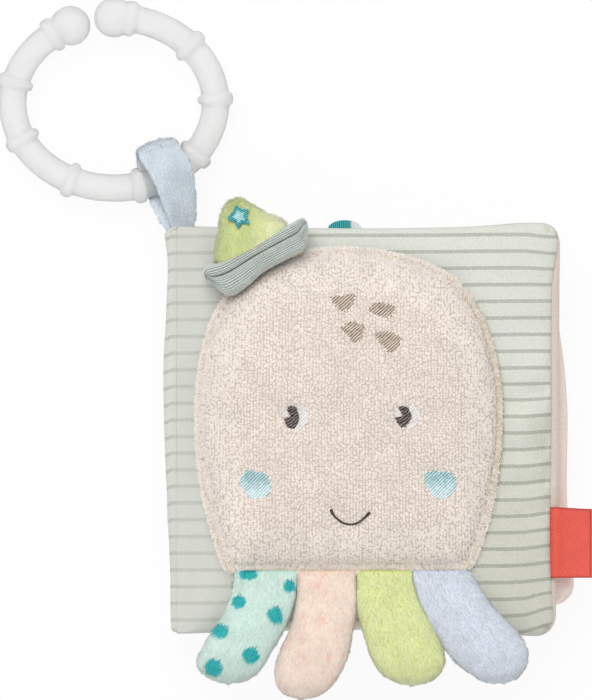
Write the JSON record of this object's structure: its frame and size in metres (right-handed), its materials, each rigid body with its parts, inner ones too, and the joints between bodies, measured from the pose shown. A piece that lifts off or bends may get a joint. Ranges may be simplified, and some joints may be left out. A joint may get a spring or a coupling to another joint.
{
  "type": "crinkle cloth book",
  "caption": "Padded cloth book for a baby with a crinkle leaf, a padded face, plush legs and hat, a side label and a plastic carry ring.",
  "frame": {"origin": "middle of the back cover's flat outer face", "axes": "+Z out of the front cover, +Y towards the top of the book, +X towards its open side"},
  "size_m": [0.1606, 0.189, 0.0455],
  "materials": {
    "striped_satin": "fine satin weave with thin woven stripes",
    "lining_cotton": "plain matt cotton",
    "wadding": "loose polyester wadding",
    "crinkle_film": "thin crisp film",
    "beige_terry": "short looped terry",
    "dark_thread": "satin stitch",
    "white_thread": "satin stitch",
    "aqua_thread": "satin stitch",
    "taupe_terry": "looped terry",
    "mint_plush": "short pile with teal dots",
    "peach_plush": "short mottled pile",
    "lime_plush": "short pile",
    "blue_plush": "short pile",
    "grey_green_knit": "ribbed knit",
    "teal_thread": "embroidered",
    "red_tape": "woven twill tape, bare",
    "milky_plastic": "milky translucent, satin"
  },
  "bodies": {
    "back_cover": {"back_panel": "striped_satin", "back_lining": "lining_cotton", "back_wadding": "wadding", "back_film": "crinkle_film", "spine_panel": "striped_satin"},
    "leaf": {"leaf_front_panel": "lining_cotton", "leaf_back_panel": "lining_cotton", "leaf_wadding": "wadding", "leaf_film": "crinkle_film", "leaf_seam_tape": "lining_cotton", "leaf_tab": "teal_thread"},
    "front_cover": {"cover_panel": "striped_satin", "cover_lining": "lining_cotton", "cover_wadding": "wadding", "cover_film": "crinkle_film", "head_panel": "beige_terry", "head_stuffing": "wadding", "left_eye": "dark_thread", "right_eye": "dark_thread", "left_eye_glint": "white_thread", "right_eye_glint": "white_thread", "left_cheek": "aqua_thread", "right_cheek": "aqua_thread", "mouth": "dark_thread", "head_spot_1": "taupe_terry", "head_spot_2": "taupe_terry", "head_spot_3": "taupe_terry", "head_spot_4": "taupe_terry"},
    "label": {"side_label": "red_tape"},
    "leg_mint": {"mint_leg": "mint_plush", "mint_leg_stuffing": "wadding"},
    "leg_peach": {"peach_leg": "peach_plush", "peach_leg_stuffing": "wadding"},
    "leg_lime": {"lime_leg": "lime_plush", "lime_leg_stuffing": "wadding"},
    "leg_blue": {"blue_leg": "blue_plush", "blue_leg_stuffing": "wadding"},
    "hat": {"hat_cone": "lime_plush", "hat_stuffing": "wadding", "hat_brim": "grey_green_knit", "hat_star": "teal_thread"},
    "loop": {"hanging_loop": "blue_plush"},
    "ring": {"c_ring": "milky_plastic"}
  },
  "joints": [
    {"name": "leaf_turn", "type": "hinge", "parent": "back_cover", "child": "leaf", "pos_m": [-0.05115, 0, 0.028], "axis": [0, 1, 0], "range_deg": [-135, 0]},
    {"name": "cover_open", "type": "hinge", "parent": "leaf", "child": "front_cover", "pos_m": [-0.05115, 0, 0.028], "axis": [0, -1, 0], "range_deg": [0, 165]},
    {"name": "label_flex", "type": "hinge", "parent": "front_cover", "child": "label", "pos_m": [0.0513, -0.0304, 0.0256], "axis": [0, 1, 0], "range_deg": [-35, 35], "stiffness_Nm_per_rad": 0.0005},
    {"name": "mint_leg_lift", "type": "hinge", "parent": "front_cover", "child": "leg_mint", "pos_m": [-0.02716, -0.03825, 0.0344], "axis": [1, 0, 0], "range_deg": [-85, 0]},
    {"name": "peach_leg_lift", "type": "hinge", "parent": "front_cover", "child": "leg_peach", "pos_m": [-0.01132, -0.03825, 0.0344], "axis": [1, 0, 0], "range_deg": [-85, 0]},
    {"name": "lime_leg_lift", "type": "hinge", "parent": "front_cover", "child": "leg_lime", "pos_m": [0.00452, -0.03825, 0.0344], "axis": [1, 0, 0], "range_deg": [-85, 0]},
    {"name": "blue_leg_lift", "type": "hinge", "parent": "front_cover", "child": "leg_blue", "pos_m": [0.02036, -0.03825, 0.0344], "axis": [1, 0, 0], "range_deg": [-85, 0]},
    {"name": "hat_lift", "type": "hinge", "parent": "front_cover", "child": "hat", "pos_m": [-0.02667, 0.04335, 0.03892], "axis": [0.8829, 0.4695, 0], "range_deg": [0, 50]},
    {"name": "loop_bend", "type": "hinge", "parent": "back_cover", "child": "loop", "pos_m": [-0.0508, 0.0555, 0.0105], "axis": [1, 0, 0], "range_deg": [0, 45]},
    {"name": "ring_swing", "type": "hinge", "parent": "loop", "child": "ring", "pos_m": [-0.05249, 0.06914, 0.0061], "axis": [-0.8726, -0.4884, 0], "range_deg": [-80, 0]}
  ]
}
